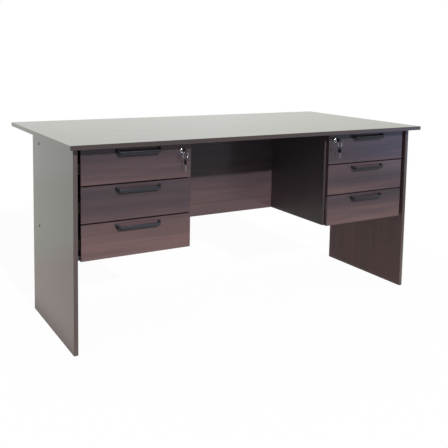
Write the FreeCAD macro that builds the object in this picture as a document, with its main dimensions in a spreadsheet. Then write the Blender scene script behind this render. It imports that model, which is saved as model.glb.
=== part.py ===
import FreeCAD, Part
import os
import re
import Sketcher

# Double-pedestal desk of melamine-faced board, with six drawers and two cam locks.
# Frame: origin on the floor under the middle of the top, +X right, +Y to the back, +Z up.

# Driving dimensions in millimetres, or in degrees where the name says so.
SIZES = {
    # Overall size and boards
    "desk_width": 1600,
    "desk_depth": 800,
    "desk_height": 740,
    "top_board": 16,
    "end_board": 16,
    "modesty_board": 16,
    "side_board": 16,
    "floor_board": 16,
    "front_board": 16,
    "arris": 0.8,
    # Places of the boards
    "side_overhang": 24,
    "front_overhang": 48,
    "back_overhang": 249,
    "modesty_inset": 79,
    "knee_width": 636,
    "hang_height": 328,
    # Drawer fronts
    "front_setback": 8,
    "front_overlay": 8,
    "end_gap": 13,
    "closing_gap": 2,
    "top_reveal": 4.5,
    "front_gap": 4,
    # Drawer boxes
    "box_board": 12,
    "box_back_gap": 25,
    "box_clearance": 3,
    "box_headroom": 38,
    "bottom_board": 3,
    "groove_depth": 5,
    "groove_lift": 8,
    "groove_play": 0.3,
    # Runners
    "runner_gap": 13,
    "runner_back_gap": 23,
    "runner_height": 36,
    "runner_sheet": 1.5,
    "runner_play": 0.3,
    "runner_side_play": 1,
    # Handles and their screws
    "handle_length": 174,
    "handle_bar_length": 156,
    "handle_reach": 28,
    "handle_height": 13,
    "handle_strip": 6.5,
    "handle_leg": 7.5,
    "handle_inner_bend": 2.5,
    "handle_edge": 1.2,
    "handle_drop": 14,
    "handle_tilt_degrees": 15,
    "handle_screw_radius": 2,
    "handle_screw_play": 0.2,
    "handle_screw_bite": 6,
    "handle_screw_inset": 4.6,
    "handle_screw_head_radius": 4,
    "handle_screw_head": 2.4,
    # Locks
    "lock_drop": 26.5,
    "lock_inset": 36,
    "barrel_radius": 8,
    "barrel_play": 0.2,
    "barrel_tail": 8,
    "flange_lip": 2.5,
    "flange_thickness": 2.5,
    "plug_radius": 5,
    "plug_play": 0.05,
    "nut_wall": 2,
    "nut_thickness": 4,
    "cam_headroom": 7,
    "cam_width": 12,
    "cam_sheet": 2,
    "keeper_width": 30,
    "keeper_leg": 12,
    "keeper_sheet": 2,
    "keeper_gap": 2.5,
    # Keys and their rings
    "eye_hole_radius": 5,
    "eye_rim": 2.5,
    "bow_start": 4,
    "bow_length": 16,
    "bow_width": 18,
    "bow_thickness": 3.5,
    "blade_neck": 4,
    "blade_length": 22,
    "blade_width": 7,
    "blade_thickness": 2,
    "blade_play": 0.1,
    "ring_radius": 11,
    "ring_wire_radius": 0.8,
    "ring_play": 0.1,
    "ring_rest": 0.3,
    # Screws and caps of the modesty panel
    "panel_screw_inset": 36,
    "panel_screw_radius": 3.5,
    "panel_screw_length": 50,
    "panel_screw_play": 0.1,
    "panel_screw_head_radius": 5,
    "panel_screw_head": 3,
    "cap_lip": 1,
    "cap_thickness": 1.2,
    "cap_stem": 2.5,
    # Corner brackets under the top, and their screws
    "bracket_leg": 25,
    "bracket_width": 20,
    "bracket_sheet": 2,
    "bracket_inset": 70,
    "bracket_spread": 600,
    "bracket_hole_place": 15,
    "wood_screw_radius": 2,
    "wood_screw_play": 0.2,
    "wood_screw_reach": 14,
    "wood_screw_head_radius": 4,
    "wood_screw_head": 2.2,
}

SIDES = ("left", "right")
LEVELS = ("upper", "middle", "lower")

# Faces of the carcase, as distances from the middle plane, the origin or the floor
END_OUT = "(desk_width / 2 - side_overhang)"
END_IN = f"({END_OUT} - end_board)"
KNEE = "(knee_width / 2)"
SIDE_IN = f"({KNEE} + side_board)"
UNDER_TOP = "(desk_height - top_board)"
PANEL_FRONT = "(front_overhang - desk_depth / 2)"
PANEL_BACK = "(desk_depth / 2 - back_overhang)"
MODESTY_BACK = f"({PANEL_BACK} - modesty_inset)"
MODESTY_FRONT = f"({MODESTY_BACK} - modesty_board)"
MODESTY_MIDDLE = f"({MODESTY_BACK} - modesty_board / 2)"
FRONT_FACE = f"({PANEL_FRONT} + front_setback)"
CARCASE_FRONT = f"({FRONT_FACE} + front_board + closing_gap)"

# Sizes of the drawers, which follow from the carcase
FRONT_WIDE = f"({END_IN} - end_gap - {SIDE_IN} + front_overlay)"
FRONTS_HIGH = f"({UNDER_TOP} - top_reveal - hang_height - {len(LEVELS) - 1} * front_gap)"
FRONT_HIGH = f"({FRONTS_HIGH} / {len(LEVELS)})"
BOX_WIDE = f"({END_IN} - {SIDE_IN} - 2 * runner_gap)"
BOX_DEEP = f"({MODESTY_FRONT} - box_back_gap - {FRONT_FACE} - front_board)"
BOX_LOW = "(floor_board + box_clearance)"
BOX_HIGH = f"({FRONT_HIGH} - {BOX_LOW} - box_headroom)"
BOTTOM_LOW = f"({BOX_LOW} + groove_lift)"
GROOVE_HIGH = "(bottom_board + groove_play)"
RUNNER_LONG = f"({MODESTY_FRONT} - runner_back_gap - {CARCASE_FRONT})"
RUNNER_DEEP = "(runner_gap - runner_sheet - runner_side_play)"
RUNNER_LOW = f"({BOX_LOW} + ({BOX_HIGH} - runner_height) / 2)"
DRAWER_RUNNER_HIGH = "(runner_height - 2 * runner_sheet - 2 * runner_play)"

# Sizes of the handles, locks and keys
LEG_SPLAY = "((handle_length - handle_bar_length) / 2 / handle_reach)"
NUT_RADIUS = "(barrel_radius + nut_wall)"
BARREL_LENGTH = "(front_board + barrel_tail)"
PLUG_LENGTH = f"({BARREL_LENGTH} + flange_thickness)"
CAM_ARM = "(top_reveal + lock_drop - cam_headroom - cam_width / 2)"
EYE_RADIUS = "(eye_hole_radius + eye_rim)"
RING_LIFT = "(sqrt((eye_rim / 2)^2 + (bow_thickness / 2)^2) + ring_play)"

TURN_TO = {
    "x": FreeCAD.Rotation(FreeCAD.Vector(0, 1, 0), 90),
    "y": FreeCAD.Rotation(FreeCAD.Vector(1, 0, 0), -90),
    "z": FreeCAD.Rotation(),
}

doc = FreeCAD.newDocument("pedestal_desk")
sheet = doc.addObject("Spreadsheet::Sheet", "Sizes")
nodes = []


def fill_sheet():
    """Writes the driving dimensions to the sheet, each under its alias."""
    for row, (name, value) in enumerate(SIZES.items(), start=1):
        sheet.set(f"A{row}", name)
        sheet.set(f"B{row}", str(value))
        sheet.setAlias(f"B{row}", name)
    doc.recompute()


def cells(formula):
    """Points each size's name in a formula at its cell."""
    return re.sub(r"[a-z_]+", lambda word: f"Sizes.{word[0]}" if word[0] in SIZES else word[0], formula)


def bind(item, **formulas):
    for name, formula in formulas.items():
        item.setExpression(name, cells(formula))
    return item


def put(item, x="0", y="0", z="0"):
    """Places an object by three formulas, and leaves its turn alone."""
    for axis, formula in zip("xyz", (x, y, z)):
        item.setExpression(f"Placement.Base.{axis}", cells(formula))
    return item


def node(item):
    """Marks a finished sub-part, whose label names its file."""
    nodes.append(item)
    return item


def box(name, length, width, height, x="0", y="0", z="0"):
    item = doc.addObject("Part::Box", name)
    return put(bind(item, Length=length, Width=width, Height=height), x, y, z)


def rod(name, radius, length, axis, x="0", y="0", z="0"):
    """A cylinder that runs from its place along +X, +Y or +Z."""
    item = doc.addObject("Part::Cylinder", name)
    item.Placement.Rotation = TURN_TO[axis]
    return put(bind(item, Radius=radius, Height=length), x, y, z)


def group(name, pieces):
    item = doc.addObject("Part::Compound", name)
    item.Links = pieces
    return item


def fuse(name, *pieces):
    item = doc.addObject("Part::MultiFuse", name)
    item.Shapes = pieces
    item.Refine = True
    return item


def cut(name, base, *tools):
    item = doc.addObject("Part::Cut", name)
    item.Base = base
    item.Tool = tools[0] if len(tools) == 1 else group(f"{name}_tools", tools)
    return item


def from_middle(side, near, far):
    """Lower X of a piece that lies between two distances from the middle plane."""
    return near if side == "right" else f"-({far})"


def four_lines(body, name, corners):
    """A closed sketch of four lines on the body's XY plane."""
    sketch = body.newObject("Sketcher::SketchObject", name)
    plane = [item for item in body.Origin.OriginFeatures if item.Role == "XY_Plane"][0]
    sketch.AttachmentSupport = (plane, "")
    sketch.MapMode = "FlatFace"
    points = [FreeCAD.Vector(x, y) for x, y in corners]
    for start, end in zip(points, points[1:] + points[:1]):
        sketch.addGeometry(Part.LineSegment(start, end))
    for line in range(4):
        sketch.addConstraint(Sketcher.Constraint("Coincident", line, 2, (line + 1) % 4, 1))
    return sketch


def rectangle(body, name, wide, deep, left="0", low="0"):
    """A rectangle, drawn as a small square that its two sizes then stretch."""
    draft = 9
    sketch = four_lines(body, name, ((0, 0), (draft, 0), (draft, draft), (0, draft)))
    for line in range(4):
        sketch.addConstraint(Sketcher.Constraint("Vertical" if line % 2 else "Horizontal", line))
    sketch.addConstraint(Sketcher.Constraint("Coincident", 0, 1, -1, 1))
    for line, label, formula in ((0, "wide", wide), (1, "deep", deep)):
        index = sketch.addConstraint(Sketcher.Constraint("Distance", line, draft))
        sketch.renameConstraint(index, label)
        sketch.setExpression(f"Constraints.{label}", cells(formula))
    sketch.setExpression("AttachmentOffset.Base.x", cells(left))
    sketch.setExpression("AttachmentOffset.Base.y", cells(low))
    return sketch


def trapezium(body, name, front_half, front_y, slope, back_y):
    """A trapezium, symmetric about Y, drawn as a small square that is then stretched to its corners."""
    draft = 9
    corners = ((-draft, -draft), (draft, -draft), (draft, draft), (-draft, draft))
    sketch = four_lines(body, name, corners)
    back_half = f"({front_half} + {slope} * ({back_y} - {front_y}))"
    places = (
        (f"-{front_half}", front_y),
        (front_half, front_y),
        (back_half, back_y),
        (f"-{back_half}", back_y),
    )
    for line, (start, place) in enumerate(zip(corners, places)):
        for kind, value, formula in zip(("DistanceX", "DistanceY"), start, place):
            index = sketch.addConstraint(Sketcher.Constraint(kind, -1, 1, line, 1, value))
            sketch.renameConstraint(index, f"{kind}{line}")
            sketch.setExpression(f"Constraints.{kind}{line}", cells(formula))
    return sketch


def extrude(body, kind, name, sketch, length, symmetric=False):
    """A pad or a pocket of a sketch."""
    item = body.newObject(f"PartDesign::{kind}", name)
    item.Profile = sketch
    item.Midplane = symmetric
    return bind(item, Length=length)


def rounded(body, name, base, radius, edges=None):
    """Rounds the edges that are given, or all of them."""
    item = body.newObject("PartDesign::Fillet", name)
    item.Base = (base, edges or ["Edge1"])
    item.UseAllEdges = edges is None
    return bind(item, Radius=radius)


def board(name, wide, deep, high, x="0", y="0", z="0"):
    """A board of melamine-faced chipboard, its edges eased all round."""
    body = doc.addObject("PartDesign::Body", name)
    outline = rectangle(body, f"{name}_outline", wide, deep)
    blank = extrude(body, "Pad", f"{name}_blank", outline, high)
    rounded(body, f"{name}_arris", blank, "arris")
    return put(body, x, y, z)


def carcase():
    """The boards that stay still."""
    left = "-desk_width / 2"
    node(board("desk_top", "desk_width", "desk_depth", "top_board", left, "-desk_depth / 2", UNDER_TOP))
    high = f"({UNDER_TOP} - hang_height)"
    wide = f"(2 * {END_IN})"
    node(board("modesty_panel", wide, "modesty_board", high, f"-{END_IN}", MODESTY_FRONT, "hang_height"))
    depth = f"({MODESTY_FRONT} - {CARCASE_FRONT})"
    for side in SIDES:
        end_panel(side)
        x = from_middle(side, KNEE, SIDE_IN)
        node(board(f"{side}_pedestal_side", "side_board", depth, high, x, CARCASE_FRONT, "hang_height"))
        wide = f"({END_IN} - {SIDE_IN})"
        x = from_middle(side, SIDE_IN, END_IN)
        node(board(f"{side}_pedestal_bottom", wide, depth, "floor_board", x, CARCASE_FRONT, "hang_height"))


def panel_screw_heights():
    """Heights of the two screws at each end of the modesty panel."""
    return "(hang_height + panel_screw_inset)", f"({UNDER_TOP} - panel_screw_inset)"


def end_panel(side):
    """An end panel that stands on the floor, bored and counterbored for the modesty panel's screws."""
    name = f"{side}_end_panel"
    depth = f"({PANEL_BACK} - {PANEL_FRONT})"
    x = from_middle(side, END_IN, END_OUT)
    blank = board(f"{name}_board", "end_board", depth, UNDER_TOP, x, PANEL_FRONT)
    recess = "(cap_stem + panel_screw_head)"
    mouth_x = from_middle(side, f"({END_OUT} - {recess})", END_OUT)
    holes = []
    for count, z in enumerate(panel_screw_heights()):
        radius = "panel_screw_radius + panel_screw_play"
        bore = rod(f"{name}_bore{count}", radius, "end_board", "x", x, MODESTY_MIDDLE, z)
        radius = "panel_screw_head_radius + panel_screw_play"
        mouth = rod(f"{name}_mouth{count}", radius, recess, "x", mouth_x, MODESTY_MIDDLE, z)
        holes.append(fuse(f"{name}_hole{count}", bore, mouth))
    node(cut(name, blank, *holes))


def panel_screws():
    """Screws through the end panels into the modesty panel's ends, and the caps over them."""
    head_out = f"({END_OUT} - cap_stem)"
    head_in = f"({head_out} - panel_screw_head)"
    tip = f"({head_out} - panel_screw_length)"
    cap_out = f"({END_OUT} + cap_thickness)"
    screws = []
    caps = []
    for side in SIDES:
        for count, z in enumerate(panel_screw_heights()):
            tag = f"{side}{count}"
            x = from_middle(side, head_in, head_out)
            head = rod(f"panel_head_{tag}", "panel_screw_head_radius", "panel_screw_head", "x", x)
            x = from_middle(side, tip, head_in)
            shank = rod(f"panel_shank_{tag}", "panel_screw_radius", f"{head_in} - {tip}", "x", x)
            screws.append(put(fuse(f"panel_screw_{tag}", head, shank), "0", MODESTY_MIDDLE, z))
            x = from_middle(side, END_OUT, cap_out)
            disc = rod(f"cap_disc_{tag}", "panel_screw_head_radius + cap_lip", "cap_thickness", "x", x)
            x = from_middle(side, head_out, END_OUT)
            stem = rod(f"cap_stem_{tag}", "panel_screw_head_radius", "cap_stem", "x", x)
            caps.append(put(fuse(f"cap_{tag}", disc, stem), "0", MODESTY_MIDDLE, z))
    node(group("modesty_screws", screws))
    node(group("screw_caps", caps))


def wood_screw(name, axis, head, shank):
    """A pan-head screw along an axis, from the places where its head and its shank start."""
    cap = rod(f"{name}_head", "wood_screw_head_radius", "wood_screw_head", axis, *head)
    stem = rod(f"{name}_shank", "wood_screw_radius", "wood_screw_reach", axis, *shank)
    return fuse(name, cap, stem)


def bracket(name, turn):
    """A steel angle and its two screws: one leg under the top, one down the face that it turns from."""
    half = "-bracket_width / 2"
    down = box(f"{name}_down", "bracket_sheet", "bracket_width", "bracket_leg", "0", half, "-bracket_leg")
    flat = box(f"{name}_flat", "bracket_leg", "bracket_width", "bracket_sheet", "0", half, "-bracket_sheet")
    radius = "wood_screw_radius + wood_screw_play"
    place = "bracket_hole_place"
    low = "-bracket_hole_place"
    up_hole = rod(f"{name}_up_hole", radius, "bracket_sheet", "z", place, "0", "-bracket_sheet")
    side_hole = rod(f"{name}_side_hole", radius, "bracket_sheet", "x", "0", "0", low)
    angle = cut(name, fuse(f"{name}_angle", down, flat), up_hole, side_hole)
    under = "-bracket_sheet - wood_screw_head"
    up = wood_screw(f"{name}_up", "z", (place, "0", under), (place, "0", "-bracket_sheet"))
    inward = "bracket_sheet - wood_screw_reach"
    across = wood_screw(f"{name}_across", "x", ("bracket_sheet", "0", low), (inward, "0", low))
    screws = group(f"{name}_screws", [up, across])
    for item in (angle, screws):
        item.Placement.Rotation = FreeCAD.Rotation(FreeCAD.Vector(0, 0, 1), turn)
    return angle, screws


def top_brackets():
    """Angles that hold the top to the end panels, the pedestal sides and the modesty panel."""
    places = []
    for y in (f"{CARCASE_FRONT} + bracket_inset", f"{MODESTY_FRONT} - bracket_inset"):
        places += [(f"-{END_IN}", y, 0), (END_IN, y, 180), (f"-{SIDE_IN}", y, 180), (SIDE_IN, y, 0)]
    places += [("-bracket_spread / 2", MODESTY_BACK, 90), ("bracket_spread / 2", MODESTY_BACK, 90)]
    angles = []
    screws = []
    for count, (x, y, turn) in enumerate(places):
        angle, pair = bracket(f"bracket{count}", turn)
        angles.append(put(angle, x, y, UNDER_TOP))
        screws.append(put(pair, x, y, UNDER_TOP))
    node(group("top_corner_brackets", angles))
    node(group("bracket_screws", screws))


def channel(name, high, face, opens, y, z):
    """A runner's channel of bent sheet, its web on the face at an X and its flanges towards +X or -X."""
    low_x = face if opens > 0 else f"({face} - {RUNNER_DEEP})"
    gap_x = f"{low_x} + runner_sheet" if opens > 0 else low_x
    bar = box(f"{name}_bar", RUNNER_DEEP, RUNNER_LONG, high, low_x, y, z)
    gap_deep = f"{RUNNER_DEEP} - runner_sheet"
    gap_high = f"{high} - 2 * runner_sheet"
    gap = box(f"{name}_gap", gap_deep, RUNNER_LONG, gap_high, gap_x, y, f"{z} + runner_sheet")
    return cut(name, bar, gap)


def front_low(level):
    """Height of the lower edge of a drawer front."""
    fronts_below = len(LEVELS) - 1 - LEVELS.index(level)
    return f"(hang_height + {fronts_below} * ({FRONT_HIGH} + front_gap))"


def cabinet_runners():
    """The still halves of the runners, on the end panels and the pedestal sides."""
    channels = []
    for side in SIDES:
        low_face = from_middle(side, SIDE_IN, END_IN)
        high_face = from_middle(side, END_IN, SIDE_IN)
        for level in LEVELS:
            z = f"({front_low(level)} + {RUNNER_LOW})"
            tag = f"cabinet_runner_{side}_{level}"
            for count, (face, opens) in enumerate(((low_face, 1), (high_face, -1))):
                channels.append(channel(f"{tag}{count}", "runner_height", face, opens, CARCASE_FRONT, z))
    node(group("cabinet_runners", channels))


def drawer_place(side, level):
    """Lower left corner of a drawer's front face, the origin of the drawer's own frame."""
    x = from_middle(side, f"({SIDE_IN} - front_overlay)", f"({END_IN} - end_gap)")
    return x, FRONT_FACE, front_low(level)


def box_left(side):
    """Left side of a drawer box in the drawer's frame."""
    return "(runner_gap + front_overlay)" if side == "right" else "(runner_gap - end_gap)"


def lock_x(side):
    """The lock's axis in the drawer's frame, near the front's edge at the knee space."""
    return "lock_inset" if side == "right" else f"({FRONT_WIDE} - lock_inset)"


def handle_screw_places():
    """Distances of a handle's two screws from its middle."""
    half = "(handle_length / 2 - handle_screw_inset)"
    return f"-{half}", half


def drawer_front(side, level):
    """A front grooved for the drawer's bottom and bored for the handle and, on the upper one, the lock."""
    tag = f"{side}_{level}_drawer_front"
    blank = board(f"{tag}_board", FRONT_WIDE, "front_board", FRONT_HIGH)
    wide = f"{BOX_WIDE} - 2 * box_board + 2 * groove_depth"
    x = f"{box_left(side)} + box_board - groove_depth"
    y = "front_board - groove_depth"
    tools = [box(f"{tag}_groove", wide, "groove_depth", GROOVE_HIGH, x, y, BOTTOM_LOW)]
    for count, place in enumerate(handle_screw_places()):
        radius = "handle_screw_radius + handle_screw_play"
        x = f"{FRONT_WIDE} / 2 + {place}"
        z = f"{FRONT_HIGH} - handle_drop"
        tools.append(rod(f"{tag}_handle_hole{count}", radius, "front_board", "y", x, "0", z))
    if level == LEVELS[0]:
        z = f"{FRONT_HIGH} - lock_drop"
        radius = "barrel_radius + barrel_play"
        tools.append(rod(f"{tag}_lock_bore", radius, "front_board", "y", lock_x(side), "0", z))
    node(put(cut(tag, blank, *tools), *drawer_place(side, level)))


def drawer_box(side, level):
    """The box behind a front: two grooved sides, a back between them and a thin bottom in the grooves."""
    tag = f"{side}_{level}_drawer"
    left = box_left(side)
    right = f"({left} + {BOX_WIDE} - box_board)"
    walls = []
    for count, (x, groove_x) in enumerate(((left, f"{left} + box_board - groove_depth"), (right, right))):
        wall = box(f"{tag}_wall{count}", "box_board", BOX_DEEP, BOX_HIGH, x, "front_board", BOX_LOW)
        groove = box(f"{tag}_groove{count}", "groove_depth", BOX_DEEP, GROOVE_HIGH)
        put(groove, groove_x, "front_board", BOTTOM_LOW)
        walls.append(cut(f"{tag}_side{count}", wall, groove))
    node(put(group(f"{tag}_sides", walls), *drawer_place(side, level)))

    x, y, z = drawer_place(side, level)
    wide = f"({BOX_WIDE} - 2 * box_board)"
    high = f"{BOX_HIGH} - groove_lift - bottom_board"
    back = node(box(f"{tag}_back", wide, "box_board", high))
    back_y = f"{y} + front_board + {BOX_DEEP} - box_board"
    put(back, f"{x} + {left} + box_board", back_y, f"{z} + {BOTTOM_LOW} + bottom_board")
    reach = "(groove_depth - groove_play)"
    bottom = node(box(f"{tag}_bottom", f"{wide} + 2 * {reach}", f"{BOX_DEEP} + {reach}", "bottom_board"))
    put(bottom, f"{x} + {left} + box_board - {reach}", f"{y} + front_board - {reach}", f"{z} + {BOTTOM_LOW}")


def drawer_runners(side, level):
    """The moving halves of a drawer's runners, on the outside of its box."""
    tag = f"{side}_{level}_drawer_runners"
    y = "front_board + closing_gap"
    z = f"({RUNNER_LOW} + runner_sheet + runner_play)"
    left = channel(f"{tag}0", DRAWER_RUNNER_HIGH, box_left(side), -1, y, z)
    right = channel(f"{tag}1", DRAWER_RUNNER_HIGH, f"({box_left(side)} + {BOX_WIDE})", 1, y, z)
    node(put(group(tag, [left, right]), *drawer_place(side, level)))


def upright_edges(shape, half, y):
    """Names of the upright edges at plus and minus a half width, at a depth."""
    names = []
    for count, edge in enumerate(shape.Edges, start=1):
        ends = [vertex.Point for vertex in edge.Vertexes]
        upright = abs(ends[0].z - ends[-1].z) > 1
        if upright and all(abs(abs(end.x) - half) < 0.01 and abs(end.y - y) < 0.01 for end in ends):
            names.append(f"Edge{count}")
    return names


def rim_edges(shape, half_height):
    """Names of the edges along a bar's top and bottom faces."""
    names = []
    for count, edge in enumerate(shape.Edges, start=1):
        if all(abs(abs(vertex.Z) - half_height) < 0.01 for vertex in edge.Vertexes):
            names.append(f"Edge{count}")
    return names


def handle_bow(tag):
    """A flat bar bent to a bow on splayed legs that run past the drawer's face, the bar tilted down."""
    body = doc.addObject("PartDesign::Body", f"{tag}_bow")
    half = "(handle_bar_length / 2)"
    outline = trapezium(body, f"{tag}_outline", half, "(-handle_reach)", LEG_SPLAY, "handle_height")
    blank = extrude(body, "Pad", f"{tag}_blank", outline, "handle_height", symmetric=True)
    gap_half = f"({half} + {LEG_SPLAY} * handle_strip - handle_leg)"
    gap_front = "(handle_strip - handle_reach)"
    gap = trapezium(body, f"{tag}_gap", gap_half, gap_front, LEG_SPLAY, "(2 * handle_height)")
    bow = extrude(body, "Pocket", f"{tag}_finger_gap", gap, "2 * handle_height", symmetric=True)
    doc.recompute()
    outer = upright_edges(bow.Shape, sheet.handle_bar_length / 2, -sheet.handle_reach)
    bow = rounded(body, f"{tag}_outer_bends", bow, "handle_inner_bend + handle_strip", outer)
    doc.recompute()
    splay = (sheet.handle_length - sheet.handle_bar_length) / 2 / sheet.handle_reach
    inner_x = sheet.handle_bar_length / 2 + splay * sheet.handle_strip - sheet.handle_leg
    inner = upright_edges(bow.Shape, inner_x, sheet.handle_strip - sheet.handle_reach)
    bow = rounded(body, f"{tag}_inner_bends", bow, "handle_inner_bend", inner)
    doc.recompute()
    rounded(body, f"{tag}_soft_edges", bow, "handle_edge", rim_edges(bow.Shape, sheet.handle_height / 2))
    body.Placement.Rotation = FreeCAD.Rotation(FreeCAD.Vector(1, 0, 0), sheet.handle_tilt_degrees)
    body.setExpression("Placement.Rotation.Angle", cells("handle_tilt_degrees * 1 deg"))
    return body


def handle(side, level):
    """A bow handle, trimmed flush to the drawer's face, and the two screws that hold it from inside."""
    tag = f"{side}_{level}_drawer_handle"
    twice = "2 * handle_height"
    trim = box(f"{tag}_trim", "2 * handle_length", twice, f"2 * {twice}", "-handle_length", "0", f"-{twice}")
    tools = [trim]
    screws = []
    for count, x in enumerate(handle_screw_places()):
        start = "-handle_screw_bite"
        radius = "handle_screw_radius"
        tools.append(rod(f"{tag}_thread{count}", radius, "handle_screw_bite", "y", x, start))
        stem = rod(f"{tag}_stem{count}", radius, "front_board + handle_screw_bite", "y", x, start)
        head = rod(f"{tag}_head{count}", "handle_screw_head_radius", "handle_screw_head", "y")
        put(head, x, "front_board")
        screws.append(fuse(f"{tag}_screw{count}", head, stem))
    bow = cut(f"{tag}_bar", handle_bow(tag), *tools)
    x, y, z = drawer_place(side, level)
    node(put(group(tag, [bow] + screws), f"{x} + {FRONT_WIDE} / 2", y, f"{z} + {FRONT_HIGH} - handle_drop"))


def lock_place(side):
    """Where the lock's axis meets the face of the upper drawer's front."""
    x, y, z = drawer_place(side, LEVELS[0])
    return f"({x} + {lock_x(side)})", y, f"({z} + {FRONT_HIGH} - lock_drop)"


def lock_housing(side):
    """The flanged barrel that fills the front's bore, and the nut behind it."""
    name = f"{side}_lock_housing"
    start = "-flange_thickness"
    flange = rod(f"{name}_flange", "barrel_radius + flange_lip", "flange_thickness", "y", "0", start)
    barrel = rod(f"{name}_barrel", "barrel_radius", BARREL_LENGTH, "y")
    bore = rod(f"{name}_bore", "plug_radius + plug_play", PLUG_LENGTH, "y", "0", start)
    shell = cut(f"{name}_shell", fuse(f"{name}_solid", flange, barrel), bore)
    blank = doc.addObject("Part::Prism", f"{name}_nut_blank")
    blank.Placement.Rotation = TURN_TO["y"]
    put(bind(blank, Circumradius=NUT_RADIUS, Height="nut_thickness"), "0", "front_board")
    thread = rod(f"{name}_thread", "barrel_radius", "nut_thickness", "y", "0", "front_board")
    node(put(group(name, [shell, cut(f"{name}_nut", blank, thread)]), *lock_place(side)))


def lock_plug(side):
    """The plug that the key turns, and the cam on its end, which points into the drawer when unlocked."""
    name = f"{side}_lock_plug"
    start = "-flange_thickness"
    core = rod(f"{name}_core", "plug_radius", PLUG_LENGTH, "y", "0", start)
    wide = "(blade_thickness + 2 * blade_play)"
    high = "(blade_width + 2 * blade_play)"
    keyway = box(f"{name}_keyway", wide, "blade_length + blade_play", high)
    put(keyway, f"-{wide} / 2", start, f"-{high} / 2")
    plug = cut(f"{name}_turning", core, keyway)
    tip_x = CAM_ARM if side == "right" else f"-{CAM_ARM}"
    web_x = "0" if side == "right" else f"-{CAM_ARM}"
    root = rod(f"{name}_cam_root", "cam_width / 2", "cam_sheet", "y", "0", BARREL_LENGTH)
    tip = rod(f"{name}_cam_tip", "cam_width / 2", "cam_sheet", "y", tip_x, BARREL_LENGTH)
    web = box(f"{name}_cam_web", CAM_ARM, "cam_sheet", "cam_width", web_x, BARREL_LENGTH, "-cam_width / 2")
    node(put(group(name, [plug, fuse(f"{name}_cam", root, web, tip)]), *lock_place(side)))


def lock_keepers():
    """Angles under the top, each just in front of a cam that is turned up."""
    angles = []
    for side in SIDES:
        name = f"{side}_keeper"
        x = f"{lock_place(side)[0]} - keeper_width / 2"
        tab_y = f"({FRONT_FACE} + {BARREL_LENGTH} - keeper_gap - keeper_sheet)"
        tab = box(f"{name}_tab", "keeper_width", "keeper_sheet", "keeper_leg")
        put(tab, x, tab_y, f"{UNDER_TOP} - keeper_leg")
        leg = box(f"{name}_leg", "keeper_width", "keeper_leg", "keeper_sheet")
        put(leg, x, f"{tab_y} - keeper_leg + keeper_sheet", f"{UNDER_TOP} - keeper_sheet")
        angles.append(fuse(name, tab, leg))
    node(group("lock_keepers", angles))


def key(name):
    """A key with a plastic bow, in a frame with the bow's eye at its origin and the blade along +Y."""
    half = "-bow_thickness / 2"
    eye = rod(f"{name}_eye", EYE_RADIUS, "bow_thickness", "x", half)
    grip = box(f"{name}_grip", "bow_thickness", "bow_length", "bow_width")
    put(grip, half, "bow_start", "-bow_width / 2")
    hole = rod(f"{name}_hole", "eye_hole_radius", "bow_thickness", "x", half)
    bow = cut(f"{name}_bow", fuse(f"{name}_head", eye, grip), hole)
    blade = box(f"{name}_blade", "blade_thickness", "blade_neck + blade_length", "blade_width")
    put(blade, "-blade_thickness / 2", "bow_start + bow_length", "-blade_width / 2")
    return node(group(name, [bow, blade]))


def keys(side):
    """The key in the lock, the ring through its eye and the spare key on the ring."""
    x, y, z = lock_place(side)
    eye_y = f"({y} - flange_thickness - blade_neck - bow_length - bow_start)"
    put(key(f"{side}_key"), x, eye_y, z)
    rim_z = f"({z} - eye_hole_radius - eye_rim / 2)"
    ring_z = f"({rim_z} + {RING_LIFT} - ring_radius + ring_wire_radius)"
    ring = doc.addObject("Part::Torus", f"{side}_key_ring")
    ring.Placement.Rotation = TURN_TO["y"]
    node(put(bind(ring, Radius1="ring_radius", Radius2="ring_wire_radius"), x, eye_y, ring_z))
    spare = key(f"{side}_spare_key")
    spare.Placement.Rotation = TURN_TO["y"]
    put(spare, x, eye_y, f"{ring_z} - ring_radius + ring_wire_radius + ring_rest - eye_hole_radius")


def check_and_write():
    """Stops at a failed object or a bad shape, then writes one file for each sub-part."""
    doc.recompute()
    for item in doc.Objects:
        if "Invalid" in item.State or "Error" in item.State:
            raise RuntimeError(f"{item.Label} failed: {item.State}")
    for item in nodes:
        if item.Shape.isNull() or not item.Shape.isValid():
            raise RuntimeError(f"{item.Label} has no valid shape")
    os.makedirs("parts", exist_ok=True)
    for item in nodes:
        item.Shape.exportStep(f"parts/{item.Label}.step")
        print(item.Label, len(item.Shape.Solids), round(item.Shape.Volume))


fill_sheet()
carcase()
panel_screws()
top_brackets()
cabinet_runners()
for side in SIDES:
    for level in LEVELS:
        drawer_front(side, level)
        drawer_box(side, level)
        drawer_runners(side, level)
        handle(side, level)
    lock_housing(side)
    lock_plug(side)
    keys(side)
lock_keepers()
check_and_write()
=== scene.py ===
import math

import bmesh
import bpy
from bpy.props import FloatProperty, FloatVectorProperty, PointerProperty
from mathutils import Matrix, Vector


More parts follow.
